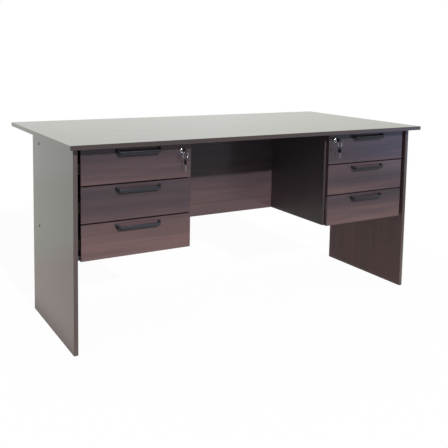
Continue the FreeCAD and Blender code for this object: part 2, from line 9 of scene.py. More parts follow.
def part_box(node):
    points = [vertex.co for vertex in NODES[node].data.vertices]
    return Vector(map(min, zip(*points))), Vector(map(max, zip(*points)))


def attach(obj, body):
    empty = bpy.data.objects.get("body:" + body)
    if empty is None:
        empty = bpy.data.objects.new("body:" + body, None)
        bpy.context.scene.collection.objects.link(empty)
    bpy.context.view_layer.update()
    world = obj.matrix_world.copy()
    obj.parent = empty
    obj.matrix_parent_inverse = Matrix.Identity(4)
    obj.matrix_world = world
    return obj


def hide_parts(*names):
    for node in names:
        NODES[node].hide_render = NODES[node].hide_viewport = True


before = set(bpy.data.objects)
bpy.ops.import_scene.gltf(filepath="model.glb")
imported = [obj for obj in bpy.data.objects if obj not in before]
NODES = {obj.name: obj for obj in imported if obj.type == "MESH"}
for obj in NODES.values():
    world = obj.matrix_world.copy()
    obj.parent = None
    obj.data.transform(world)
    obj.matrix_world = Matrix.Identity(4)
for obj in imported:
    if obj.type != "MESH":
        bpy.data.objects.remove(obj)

bl_info = {
    "name": "Pedestal desk",
    "version": (1, 0, 0),
    "blender": (4, 5, 0),
    "location": "3D View > Sidebar > Desk",
    "description": "Finishes a double-pedestal desk: boards, drawers, handles, locks, keys and fixings",
    "category": "Object",
}

SIDES = ("left", "right")
SIGN = {"left": -1, "right": 1}
LEVELS = ("upper", "middle", "lower")
DRAWERS = [f"{side}_{level}_drawer" for side in SIDES for level in LEVELS]
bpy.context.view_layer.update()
MM = 0.001
WHOLE_TURN = 2 * math.pi
QUARTER_TURN = math.pi / 2
WHITE = (1, 1, 1, 1)
# Tone of each upright face, from 0 dark to 1 light, at its bottom, middle and top: partly the print's own tone and
# partly painted light: lighter towards the bottom as if lit by the floor, painted shade high on the modesty panel and
# the right pedestal side under the top, a painted lift on the right end panel's unlit inner face, and darker right
# fronts to offset their reflection.
FACE_TONES = {
    "left_upper_drawer_front": (0.6, 0.34, 0.36),
    "left_middle_drawer_front": (0.6, 0.28, 0.34),
    "left_lower_drawer_front": (0.8, 0.79, 0.62),
    "right_upper_drawer_front": (0.3, 0.22, 0.2),
    "right_middle_drawer_front": (0.52, 0.34, 0.46),
    "right_lower_drawer_front": (0.7, 0.52, 0.24),
    "modesty_panel": (0.67, 0.36, 0.16),
    "right_pedestal_side": (0.45, 0.18, 0.05),
    "right_end_panel": (0.82, 0.78, 0.7),
}
# Tones of the other boards, and the shares of a face's height at which the three tones stand.
PLAIN_TONES = (0.48, 0.42, 0.42)
TONE_HEIGHTS = (0.05, 0.5, 0.92)
# How far the print's broad bands, thin streaks and pores move its tone: more where the grain lies, less where it
# stands upright.
LYING_PRINT = (0.65, 0.25, 0.15)
UPRIGHT_PRINT = (0.38, 0.12, 0.15)
# The modesty panel comes from another stretch of the print, this many steps of the pattern along.
MODESTY_START = 2.0
# Share to which the edging strip's tones are darkened on these boards.
EDGE_SHADES = {"desk_top": 0.66, "right_end_panel": 0.8}
# Where the painted highlight on the handles' upper edges is strongest: from this share of the bar's span outwards,
# over a blend, and weaker elsewhere.
HIGHLIGHT_START, HIGHLIGHT_BLEND, HIGHLIGHT_LEAST = 0.38, 0.1, 0.4
# Turned profiles, as shares of radius and height.
PAN_HEAD = ((0, 0), (1, 0), (1, 0.4), (0.84, 0.8), (0.5, 1), (0, 1))
CAP_DOME = ((0, 0), (1, 0), (1, 0.3), (0.94, 0.62), (0.8, 0.85), (0.5, 0.97), (0, 1))
# Radius and height of the screws' heads.
RUNNER_SCREW = (3.4 * MM, 1.8 * MM)
HANDLE_SCREW = (4 * MM, 2.4 * MM)
# Light that the boards mirror, in linear parts, because some of it is brighter than white.
DIM_ROOM = (0.22, 0.22, 0.25, 1)
BLUE_ROOM = (0.56, 0.66, 1.1, 1)
GREY_ROOM = (0.55, 0.56, 0.58, 1)
WALL_LIGHT = [(0.25, (1.05, 1.08, 1.01)), (0.45, (0.91, 0.935, 0.875)), (0.7, (0.98, 1.0, 0.945)),
              (0.94, (0.83, 0.84, 0.765))]
DIM_FLOOR = (0.2, 0.19, 0.2, 1)
LIT_FLOOR = (1.7, 1.7, 2.1, 1)
SHADED_FLOOR = (0.18, 0.16, 0.16, 1)
NEAR_SWEEP = (0.88, 0.8, 0.74, 1)
FAR_SWEEP = (0.93, 0.98, 0.88, 1)


# Colours, nodes and meshes

def linear(hex_colour):
    """An sRGB hex colour as linear red, green, blue and alpha."""
    parts = [int(hex_colour[i:i + 2], 16) / 255 for i in (1, 3, 5)]
    return [p / 12.92 if p <= 0.04045 else ((p + 0.055) / 1.055) ** 2.4 for p in parts] + [1.0]


def add(tree, kind, inputs=None, stops=None, **settings):
    """Adds a node: its settings, its ramp stops, and its inputs, each a value or a socket to link from."""
    item = tree.nodes.new(kind)
    for name, value in settings.items():
        setattr(item, name, value)
    if stops:
        ramp = item.color_ramp
        while len(ramp.elements) < len(stops):
            ramp.elements.new(0.5)
        for element, (place, colour) in zip(ramp.elements, stops):
            element.position = place
            element.color = linear(colour) if isinstance(colour, str) else [*colour, 1.0]
    for key, value in (inputs or {}).items():
        if isinstance(value, bpy.types.NodeSocket):
            tree.links.new(value, item.inputs[key])
        else:
            item.inputs[key].default_value = value
    return item


def new_material(name, **sockets):
    """A material with one Principled shader whose sockets are set here."""
    material = bpy.data.materials.new(name)
    material.use_nodes = True
    tree = material.node_tree
    tree.nodes.clear()
    shader = add(tree, "ShaderNodeBsdfPrincipled", sockets)
    add(tree, "ShaderNodeOutputMaterial", {"Surface": shader.outputs[0]})
    return material, tree, shader


def dress(material, *names):
    """Gives a material to CAD nodes."""
    for name in names:
        NODES[name].data.materials.clear()
        NODES[name].data.materials.append(material)


def circle(radius, count, start=0.0, end=WHOLE_TURN):
    """Points on an arc; a whole circle leaves out its last point, which is its first."""
    steps = count if math.isclose(end - start, WHOLE_TURN) else count - 1
    step = (end - start) / steps
    return [(radius * math.cos(start + i * step), radius * math.sin(start + i * step)) for i in range(count)]


def turned(profile, count, ring=False):
    """A turned shape: pairs of radius and height spun round Z, with a bore where it is a ring."""
    bm = bmesh.new()
    rings = []
    for radius, height in profile:
        spots = circle(radius, count) if radius else [(0.0, 0.0)]
        rings.append([bm.verts.new((x, y, height)) for x, y in spots])
    for below, above in zip(rings, rings[1:] + rings[:1] if ring else rings[1:]):
        for i in range(count):
            j = (i + 1) % count
            corners = [below[i % len(below)], below[j % len(below)], above[j % len(above)], above[i % len(above)]]
            bm.faces.new(list(dict.fromkeys(corners)))
    bmesh.ops.recalc_face_normals(bm, faces=bm.faces)
    return bm


def stamped(outlines, thickness, eased, segments=2):
    """A flat shape with holes, from an outer outline and those of its holes, and with its rims eased."""
    bm = bmesh.new()
    for outline in outlines:
        corners = [bm.verts.new((x, y, -thickness / 2)) for x, y in outline]
        for a, b in zip(corners, corners[1:] + corners[:1]):
            bm.edges.new((a, b))
    bmesh.ops.triangle_fill(bm, use_beauty=True, edges=bm.edges[:])
    lifted = bmesh.ops.extrude_face_region(bm, geom=bm.faces[:])["geom"]
    bmesh.ops.translate(bm, verts=[v for v in lifted if isinstance(v, bmesh.types.BMVert)], vec=(0, 0, thickness))
    bmesh.ops.recalc_face_normals(bm, faces=bm.faces)
    if eased:
        flat = [f for f in bm.faces if abs(f.normal.z) > 0.9]
        rims = [e for f in flat for e in f.edges if any(abs(g.normal.z) < 0.1 for g in e.link_faces)]
        bmesh.ops.bevel(bm, geom=list(set(rims)), offset=eased, segments=segments, profile=0.6, affect="EDGES")
    return bm


def joined(*shapes):
    """One shape from several, each given with the matrix that sets it in place."""
    whole = bmesh.new()
    for shape, matrix in shapes:
        shape.transform(matrix)
        spare = bpy.data.meshes.new("spare")
        shape.to_mesh(spare)
        shape.free()
        whole.from_mesh(spare)
        bpy.data.meshes.remove(spare)
    return whole


def plain_mesh(bm, name, *materials, smooth_degrees=35):
    """A mesh from a shape, smooth but for its sharper edges."""
    mesh = bpy.data.meshes.new(name)
    bm.to_mesh(mesh)
    bm.free()
    for material in materials:
        mesh.materials.append(material)
    soften(mesh, smooth_degrees)
    return mesh


def soften(mesh, smooth_degrees=35):
    """Shades a mesh smooth, but for edges sharper than an angle."""
    mesh.shade_smooth()
    mesh.set_sharp_from_angle(angle=math.radians(smooth_degrees))


def piece(mesh, name, body, slot, *nodes):
    """An object for a mesh that is already in place: it rides on a body and may stand for CAD nodes."""
    mesh.name = name
    item = bpy.data.objects.new(name, mesh)
    bpy.context.scene.collection.objects.link(item)
    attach(item, body)
    if nodes:
        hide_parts(*nodes)
    return item


# Geometry Nodes

def new_tree(name, sockets):
    """An empty node tree with geometry in and out and further named inputs."""
    tree = bpy.data.node_groups.new(name, "GeometryNodeTree")
    tree.interface.new_socket("Geometry", in_out="INPUT", socket_type="NodeSocketGeometry")
    for label, kind in sockets.items():
        tree.interface.new_socket(label, in_out="INPUT", socket_type=f"NodeSocket{kind}")
    tree.interface.new_socket("Geometry", in_out="OUTPUT", socket_type="NodeSocketGeometry")
    return tree, add(tree, "NodeGroupInput").outputs


def end_tree(tree, geometry, material):
    """Ends a tree: what it made becomes real and gets its material."""
    real = add(tree, "GeometryNodeRealizeInstances", {"Geometry": geometry})
    given = add(tree, "GeometryNodeSetMaterial", {"Geometry": real.outputs[0], "Material": material})
    add(tree, "NodeGroupOutput", {"Geometry": given.outputs[0]})
    return tree


def sweep(tree, given, path, corner_steps):
    """Ends a tree with a bar that has rounded edges and runs along a path."""
    upright = add(tree, "GeometryNodeSetCurveNormal", {"Curve": path.outputs[0]}, mode="Z_UP")
    section = add(tree, "GeometryNodeCurvePrimitiveQuadrilateral", {"Width": given["Wide"], "Height": given["Deep"]})
    eased = add(tree, "GeometryNodeFilletCurve",
                {"Curve": section.outputs[0], "Count": corner_steps, "Radius": given["Edge"]}, mode="POLY")
    bar = add(tree, "GeometryNodeCurveToMesh",
              {"Curve": upright.outputs[0], "Profile Curve": eased.outputs[0], "Fill Caps": True})
    return end_tree(tree, bar.outputs[0], given["Material"])


def strip_tree():
    """A bar with rounded edges that follows a path with rounded corners."""
    sockets = {"Wide": "Float", "Deep": "Float", "Bend": "Float", "Edge": "Float", "Material": "Material"}
    tree, given = new_tree("Bar along a path", sockets)
    path = add(tree, "GeometryNodeMeshToCurve", {"Mesh": given["Geometry"]})
    bent = add(tree, "GeometryNodeFilletCurve", {"Curve": path.outputs[0], "Count": 8, "Radius": given["Bend"]},
               mode="POLY")
    return sweep(tree, given, bent, 4)


def coil_tree():
    """A flat wire wound round Z in a close coil."""
    sockets = {"Turns": "Float", "Radius": "Float", "Rise": "Float", "Wide": "Float", "Deep": "Float",
               "Edge": "Float", "Material": "Material"}
    tree, given = new_tree("Close coil of flat wire", sockets)
    coil = add(tree, "GeometryNodeCurveSpiral", {"Resolution": 40, "Rotations": given["Turns"],
                                                 "Start Radius": given["Radius"], "End Radius": given["Radius"],
                                                 "Height": given["Rise"]})
    return sweep(tree, given, coil, 2)


def places_tree():
    """Copies of one fitting, one at each point, turned as the point says."""
    tree, given = new_tree("Fittings at places", {"Fitting": "Object", "Material": "Material"})
    master = add(tree, "GeometryNodeObjectInfo", {"Object": given["Fitting"]})
    turn = add(tree, "GeometryNodeInputNamedAttribute", {"Name": "turn"}, data_type="FLOAT_VECTOR")
    angle = add(tree, "FunctionNodeEulerToRotation", {0: turn.outputs[0]})
    copies = add(tree, "GeometryNodeInstanceOnPoints", {"Points": given["Geometry"],
                                                        "Instance": master.outputs["Geometry"],
                                                        "Rotation": angle.outputs[0]})
    return end_tree(tree, copies.outputs[0], given["Material"])


def grown(tree, mesh, values):
    """The plain mesh that a tree makes from a mesh, with its named inputs set first."""
    carrier = bpy.data.objects.new("carrier", mesh)
    bpy.context.scene.collection.objects.link(carrier)
    modifier = carrier.modifiers.new("grow", "NODES")
    modifier.node_group = tree
    for socket in tree.interface.items_tree:
        if socket.in_out == "INPUT" and socket.name in values:
            modifier[socket.identifier] = values[socket.name]
    result = bpy.data.meshes.new_from_object(carrier.evaluated_get(bpy.context.evaluated_depsgraph_get()))
    bpy.data.objects.remove(carrier)
    soften(result)
    return result


def set_at(tree, fitting, places, material):
    """One mesh of like fittings, each at a place with its foot's +Z along a direction."""
    mesh = bpy.data.meshes.new("places")
    mesh.from_pydata([place for place, _ in places], [], [])
    turns = mesh.attributes.new("turn", "FLOAT_VECTOR", "POINT")
    for item, (_, way) in zip(turns.data, places):
        item.vector = Vector(way).to_track_quat("Z", "Y").to_euler()
    master = bpy.data.objects.new("fitting", fitting)
    bpy.context.scene.collection.objects.link(master)
    result = grown(tree, mesh, {"Fitting": master, "Material": material})
    bpy.data.objects.remove(master)
    return result


def cross_head(radius, height):
    """A pan screw head with a cross recess, its foot on the XY plane."""
    head = plain_mesh(turned([(r * radius, h * height) for r, h in PAN_HEAD], 20), "head")
    long, narrow = 0.55 * radius, 0.16 * radius
    arm = [(long, narrow), (narrow, narrow), (narrow, long)]
    outline = []
    for _ in range(4):
        outline += arm
        arm = [(-y, x) for x, y in arm]
    cutter = bpy.data.objects.new("recess", plain_mesh(stamped([outline], height, 0.0), "recess"))
    cutter.data.transform(Matrix.Translation((0, 0, 0.95 * height)))
    blank = bpy.data.objects.new("blank", head)
    for item in (cutter, blank):
        bpy.context.scene.collection.objects.link(item)
    cut = blank.modifiers.new("recess", "BOOLEAN")
    cut.object, cut.operation, cut.solver = cutter, "DIFFERENCE", "EXACT"
    result = bpy.data.meshes.new_from_object(blank.evaluated_get(bpy.context.evaluated_depsgraph_get()))
    for item in (cutter, blank):
        bpy.data.objects.remove(item)
    return result


# Finishes

def walnut_melamine(node, along):
    """Chipboard faced with a printed paper under melamine resin: soft brown-purple bands along the grain, thin
    darker streaks, and a hard even gloss that turns pale where it is seen from low down. The narrow sides have a
    strip of edging: grey-brown on the top and panels, dark on the pedestals, thicker and redder on the fronts, where
    it is also darkened as painted shade along their rims."""
    look = bpy.context.scene.desk.board
    low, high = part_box(node)
    material, tree, shader = new_material(f"Walnut melamine, {node.replace('_', ' ')}", IOR=look.ior)
    place = add(tree, "ShaderNodeTexCoord").outputs["Object"]
    axes = add(tree, "ShaderNodeSeparateXYZ", {0: place}).outputs
    start = [MODESTY_START if node == "modesty_panel" else 0.0] * 3

    def grain(long, wide, detail, wander):
        step = [1 / wide] * 3
        step["XYZ".index(along)] = 1 / long
        mapped = add(tree, "ShaderNodeMapping", {"Vector": place, "Scale": step, "Location": start})
        return add(tree, "ShaderNodeTexNoise", {"Vector": mapped.outputs[0], "Scale": 1.0, "Detail": detail,
                                                "Roughness": 0.55, "Distortion": wander}).outputs[0]

    # The tone rises and falls up the face as FACE_TONES gives it: partly print, partly painted light and shade.
    height = add(tree, "ShaderNodeMapRange", {0: axes[2], 1: low[2], 2: high[2]})
    face = add(tree, "ShaderNodeValToRGB", {"Fac": height.outputs[0]},
               [(share_up, (part,) * 3) for share_up, part in zip(TONE_HEIGHTS, FACE_TONES.get(node, PLAIN_TONES))])
    face.color_ramp.interpolation = "EASE"
    bands = grain(look.band_length, look.band_width, 2.0, 0.4)
    streaks = grain(look.streak_length, look.streak_width, 3.0, 0.15)
    # Printed pores are under half a millimetre wide; drawn wider so that they show.
    pores = grain(look.pore_length, look.pore_width, 2.0, 0.0)
    mix = face.outputs[0]
    for layer, swing in zip((bands, streaks, pores), UPRIGHT_PRINT if along == "Z" else LYING_PRINT):
        about = add(tree, "ShaderNodeMapRange", {0: layer, 3: -swing / 2, 4: swing / 2})
        mix = add(tree, "ShaderNodeMath", {0: mix, 1: about.outputs[0]}, operation="ADD").outputs[0]
    tone = add(tree, "ShaderNodeValToRGB", {"Fac": mix}, [(0.2, look.dark), (0.5, look.middle), (1.0, look.light)])

    # The edging on the boards in EDGE_SHADES is darkened by their share.
    shade = EDGE_SHADES.get(node, 1.0)
    strips = [[shade * part for part in strip] for strip in (look.edging_dark, look.edging_light)]
    thick = look.edging
    if "pedestal" in node:
        strips = (look.dark, look.middle)
    # On the fronts the edging is wider and darker, so that its rim is partly the edging strip and partly painted
    # shade.
    elif "drawer" in node:
        strips, thick = (look.front_edging_dark, look.front_edging_light), look.front_edging
    thin = min(range(3), key=lambda axis: high[axis] - low[axis])
    rim = 0.0
    for axis in (0, 1, 2):
        if axis != thin:
            off = add(tree, "ShaderNodeMath", {0: axes[axis], 1: (low[axis] + high[axis]) / 2}, operation="SUBTRACT")
            far = add(tree, "ShaderNodeMath", {0: off.outputs[0]}, operation="ABSOLUTE")
            strip = add(tree, "ShaderNodeMath", {0: far.outputs[0], 1: (high[axis] - low[axis]) / 2 - thick},
                        operation="GREATER_THAN")
            rim = add(tree, "ShaderNodeMath", {0: strip.outputs[0], 1: rim}, operation="MAXIMUM").outputs[0]
    edging = add(tree, "ShaderNodeValToRGB", {"Fac": streaks}, list(zip((0.3, 0.7), strips)))
    colour = add(tree, "ShaderNodeMix", {0: rim, 6: tone.outputs[0], 7: edging.outputs[0]}, data_type="RGBA")
    tree.links.new(colour.outputs[2], shader.inputs["Base Color"])
    smooth = look.upright_roughness
    if node == "desk_top":
        smooth = look.roughness
    elif "pedestal" in node:
        smooth = look.pedestal_roughness
    gloss = add(tree, "ShaderNodeMapRange", {0: bands, 1: 0.3, 2: 0.7, 3: smooth - 0.02, 4: smooth + 0.03})
    tree.links.new(gloss.outputs[0], shader.inputs["Roughness"])
    relief = add(tree, "ShaderNodeBump", {"Height": pores, "Strength": 0.05, "Distance": 0.1 * MM})
    tree.links.new(relief.outputs[0], shader.inputs["Normal"])
    dress(material, node)


def speckled(name, colour_a, colour_b, grit_mm, bump=0.1, wear=0.0, rubbed=None, **sockets):
    """A finish of two near tones in a fine even mottle, with the same mottle as a faint relief. Wear makes handled
    patches of it rougher, and a painted highlight in a lighter tone shows where the mesh's highlight attribute says
    so."""
    material, tree, shader = new_material(name, **sockets)
    place = add(tree, "ShaderNodeTexCoord").outputs["Object"]
    grit = add(tree, "ShaderNodeTexNoise", {"Vector": place, "Scale": 1 / (grit_mm * MM), "Detail": 3.0}).outputs[0]
    tone = add(tree, "ShaderNodeValToRGB", {"Fac": grit}, [(0.35, colour_a), (0.65, colour_b)])
    relief = add(tree, "ShaderNodeBump", {"Height": grit, "Strength": bump, "Distance": 0.1 * MM})
    tree.links.new(relief.outputs[0], shader.inputs["Normal"])
    patch = 12 * MM
    patches = add(tree, "ShaderNodeTexNoise", {"Vector": place, "Scale": 1 / patch, "Detail": 2.0}).outputs[0]
    colour = tone.outputs[0]
    # A painted highlight: the lighter tone is laid on in uneven patches where the mesh's attribute marks it.
    if rubbed is not None:
        edge = add(tree, "ShaderNodeAttribute", attribute_name="rub").outputs["Fac"]
        uneven = add(tree, "ShaderNodeMapRange", {0: patches, 1: 0.3, 2: 0.6, 3: 0.88, 4: 1.0})
        rub = add(tree, "ShaderNodeMath", {0: edge, 1: uneven.outputs[0]}, operation="MULTIPLY")
        colour = add(tree, "ShaderNodeMix", {0: rub.outputs[0], 6: colour, 7: [*rubbed, 1.0]},
                     data_type="RGBA").outputs[2]
    tree.links.new(colour, shader.inputs["Base Color"])
    if wear:
        smooth = shader.inputs["Roughness"].default_value
        haze = add(tree, "ShaderNodeMapRange", {0: patches, 1: 0.35, 2: 0.7, 3: smooth, 4: smooth + wear})
        tree.links.new(haze.outputs[0], shader.inputs["Roughness"])
    return material


def zinc_plate():
    """Steel with clear zinc plating: bluish grey and bright, with a faint spangle."""
    name = "Zinc-plated steel"
    return bpy.data.materials.get(name) or speckled(name, "#a5a9ac", "#bcc0c3", 2.0, 0.05, 0.1, Metallic=1.0,
                                                    Roughness=0.32)


# Settings that a user would change

def tint(label, help_text, hex_colour):
    """A colour setting, given in sRGB hex."""
    return FloatVectorProperty(name=label, description=help_text, subtype="COLOR", size=3, min=0, max=1,
                               default=linear(hex_colour)[:3])


def length(label, help_text, millimetres):
    """A length setting, given in millimetres."""
    return FloatProperty(name=label, description=help_text, unit="LENGTH", default=millimetres * MM)


def share(label, help_text, value):
    """A setting from 0 to 1."""
    return FloatProperty(name=label, description=help_text, subtype="FACTOR", default=value, min=0, max=1)


class BoardLook(bpy.types.PropertyGroup):
    """Looks of the melamine-faced boards."""
    dark: tint("Dark grain", "Darkest tone of the print", "#3d363b")
    middle: tint("Middle grain", "Main tone of the print", "#4f4144")
    light: tint("Light grain", "Lightest tone of the print", "#755a58")
    edging_dark: tint("Dark edging", "Darker tone of the edging strip", "#524847")
    edging_light: tint("Light edging", "Lighter tone of the edging strip", "#594f4c")
    edging: length("Edging", "Thickness of the edging strip", 1.0)
    front_edging_dark: tint("Dark front edging", "Darker tone of the drawer fronts' edging", "#3d3033")
    front_edging_light: tint("Light front edging", "Lighter tone of the drawer fronts' edging", "#47373a")
    front_edging: length("Front edging", "Thickness of the drawer fronts' edging", 1.6)
    roughness: share("Top roughness", "Roughness of the top's resin face", 0.12)
    upright_roughness: share("Upright roughness", "Roughness of the upright boards' faces", 0.18)
    pedestal_roughness: share("Pedestal roughness", "Roughness of the pedestal boards' faces", 0.38)
    ior: FloatProperty(name="Refraction", description="Refractive index of the melamine resin", default=1.65)
    band_length: length("Band length", "Length of a broad band of grain", 650)
    band_width: length("Band width", "Width of a broad band of grain", 42)
    streak_length: length("Streak length", "Length of a thin streak of grain", 420)
    streak_width: length("Streak width", "Width of a thin streak of grain", 6)
    pore_length: length("Pore length", "Length of a printed pore", 40)
    pore_width: length("Pore width", "Width at which a printed pore is drawn", 1.4)


class HandleLook(bpy.types.PropertyGroup):
    """Sizes and colours of the bow handles."""
    foot_span: length("Foot span", "Length over the two feet", 174)
    bar_span: length("Bar span", "Length of the bar over its two bends", 156)
    reach: length("Reach", "How far the bar stands off the drawer front", 28)
    height: length("Height", "Height of the strip", 13)
    strip: length("Strip", "Thickness of the strip", 6.5)
    leg: length("Leg", "Thickness of a leg along the drawer front", 7.5)
    bend: length("Bend", "Inner radius of the bends", 2.5)
    edge: length("Edge", "Rounding of the strip's edges", 2.2)
    drop: length("Drop", "Height of the drawer front above the feet's middle", 14)
    tilt: FloatProperty(name="Tilt", description="How far the bar hangs down", default=math.radians(15),
                        subtype="ANGLE")
    screw_inset: length("Screw inset", "Distance of a screw from the foot's outer end", 4.6)
    dark: tint("Dark enamel", "Darker tone of the enamel", "#171a1e")
    light: tint("Light enamel", "Lighter tone of the enamel", "#1d2126")
    # Tone of the painted highlight along the handles' upper edges.
    rubbed: tint("Rubbed enamel", "Tone of the enamel where hands rub it", "#50505a")


class KeyLook(bpy.types.PropertyGroup):
    """Sizes and colours of the keys and rings."""
    eye_radius: length("Eye", "Outer radius of the key's eye", 7.5)
    hole_radius: length("Eye hole", "Radius of the hole in the eye", 5)
    grip_start: length("Grip start", "Distance from the eye's middle to the grip", 4)
    grip_length: length("Grip length", "Length of the grip", 16)
    grip_width: length("Grip width", "Width of the grip", 18)
    thickness: length("Thickness", "Thickness of the grip over its ribs", 3.5)
    blade_length: length("Blade length", "Length of the blade outside the grip", 26)
    blade_width: length("Blade width", "Width of the blade", 7)
    blade_thickness: length("Blade thickness", "Thickness of the blade", 2)
    ring_radius: length("Ring", "Radius of the ring at the middle of its wire", 11)
    ring_turns: FloatProperty(name="Ring turns", description="Turns of wire in the split ring", default=2.0)
    plastic: tint("Grip", "Main tone of the moulded grip", "#151517")


class StageLook(bpy.types.PropertyGroup):
    """Camera and light."""
    eye: FloatVectorProperty(name="Eye", description="Where the camera stands", size=3, subtype="TRANSLATION",
                             default=(-1.48113, -2.52460, 1.05128))
    yaw: FloatProperty(name="Yaw", description="Turn of the camera to the right", default=0.53569, subtype="ANGLE")
    pitch: FloatProperty(name="Pitch", description="Tilt of the camera down", default=0.10426, subtype="ANGLE")
    roll: FloatProperty(name="Roll", description="Lean of the camera", default=0.01766, subtype="ANGLE")
    lens: FloatProperty(name="Lens", description="Focal length on a 36 mm frame", default=54.222)
    rise: FloatProperty(name="Shift", description="Lens shift that sets the desk low in the frame", default=-0.225)
    sun: FloatProperty(name="Key light", description="Strength of the light from the front", default=2.6)
    sun_height: FloatProperty(name="Key height", description="Height of the key light above the horizon",
                              default=math.atan(0.485), subtype="ANGLE")
    sun_size: FloatProperty(name="Key size", description="Width of the key light, which softens its shadow",
                            default=math.radians(1.5), subtype="ANGLE")
    room: FloatProperty(name="Room light", description="Strength of the even light from the room", default=0.4)


class DeskSettings(bpy.types.PropertyGroup):
    """All settings of the desk."""
    board: PointerProperty(type=BoardLook)
    handle: PointerProperty(type=HandleLook)
    key: PointerProperty(type=KeyLook)
    stage: PointerProperty(type=StageLook)


# Operators, one for each group of pieces

class DESK_OT_boards(bpy.types.Operator):
    """Finishes the top, panels, pedestals and drawer fronts in walnut melamine, with the grain along each board"""
    bl_idname = "desk.boards"
    bl_label = "Boards"

    def execute(self, context):
        for node in ("desk_top", "modesty_panel", *(f"{side}_pedestal_bottom" for side in SIDES),
                     *(f"{drawer}_front" for drawer in DRAWERS)):
            walnut_melamine(node, "X")
        for side in SIDES:
            walnut_melamine(f"{side}_end_panel", "Z")
            walnut_melamine(f"{side}_pedestal_side", "Z")
        return {"FINISHED"}


class DESK_OT_drawer_boxes(bpy.types.Operator):
    """Finishes the drawer boxes and their bottoms"""
    bl_idname = "desk.drawer_boxes"
    bl_label = "Drawer boxes"

    def execute(self, context):
        # Chipboard wrapped in a dark foil: satin, with a faint mottle.
        foil = speckled("Dark foil on chipboard", "#3a2c2a", "#46362f", 3.0, wear=0.1, Roughness=0.42)
        # Hardboard pressed from wood fibre: brown and smooth, with fibre flecks.
        hardboard = speckled("Pressed hardboard", "#6b4c37", "#7d5b42", 1.5, wear=0.15, Roughness=0.5)
        for drawer in DRAWERS:
            dress(foil, f"{drawer}_sides", f"{drawer}_back")
            dress(hardboard, f"{drawer}_bottom")
        return {"FINISHED"}


class DESK_OT_runners(bpy.types.Operator):
    """Finishes the drawer runners and sets the screws that hold them"""
    bl_idname = "desk.runners"
    bl_label = "Runners"

    def execute(self, context):
        # Rolled steel under a baked dark powder coat: satin, with a fine orange-peel relief.
        coat = speckled("Powder-coated runner steel", "#221d1b", "#2b2523", 0.9, wear=0.12, Roughness=0.42)
        dress(coat, "cabinet_runners", *(f"{drawer}_runners" for drawer in DRAWERS))
        zinc = zinc_plate()
        tree, head = places_tree(), cross_head(*RUNNER_SCREW)
        # The heads sit on the channels' sheet.
        sheet = 1.5 * MM
        still = []
        for drawer in DRAWERS:
            side = drawer.split("_")[0]
            sign = SIGN[side]
            low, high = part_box(f"{drawer}_runners")
            middle = (low[2] + high[2]) / 2
            near, far = sorted(abs(corner[0]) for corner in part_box(f"{drawer}_sides"))
            panel_in = min(abs(corner[0]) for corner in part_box(f"{side}_end_panel"))
            board_out = max(abs(corner[0]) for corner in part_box(f"{side}_pedestal_side"))
            moving = []
            # Three screws along each channel: two channels stay on the boards, and two move with the drawer.
            for along in (0.1, 0.5, 0.9):
                y = low[1] + along * (high[1] - low[1])
                still += [((sign * (board_out + sheet), y, middle), (sign, 0, 0)),
                          ((sign * (panel_in - sheet), y, middle), (-sign, 0, 0))]
                moving += [((sign * (near - sheet), y, middle), (-sign, 0, 0)),
                           ((sign * (far + sheet), y, middle), (sign, 0, 0))]
            piece(set_at(tree, head, moving, zinc), f"{drawer}_runner_screws", drawer, "zinc_plated_steel")
        piece(set_at(tree, head, still, zinc), "cabinet_runner_screws", "desk", "zinc_plated_steel")
        return {"FINISHED"}


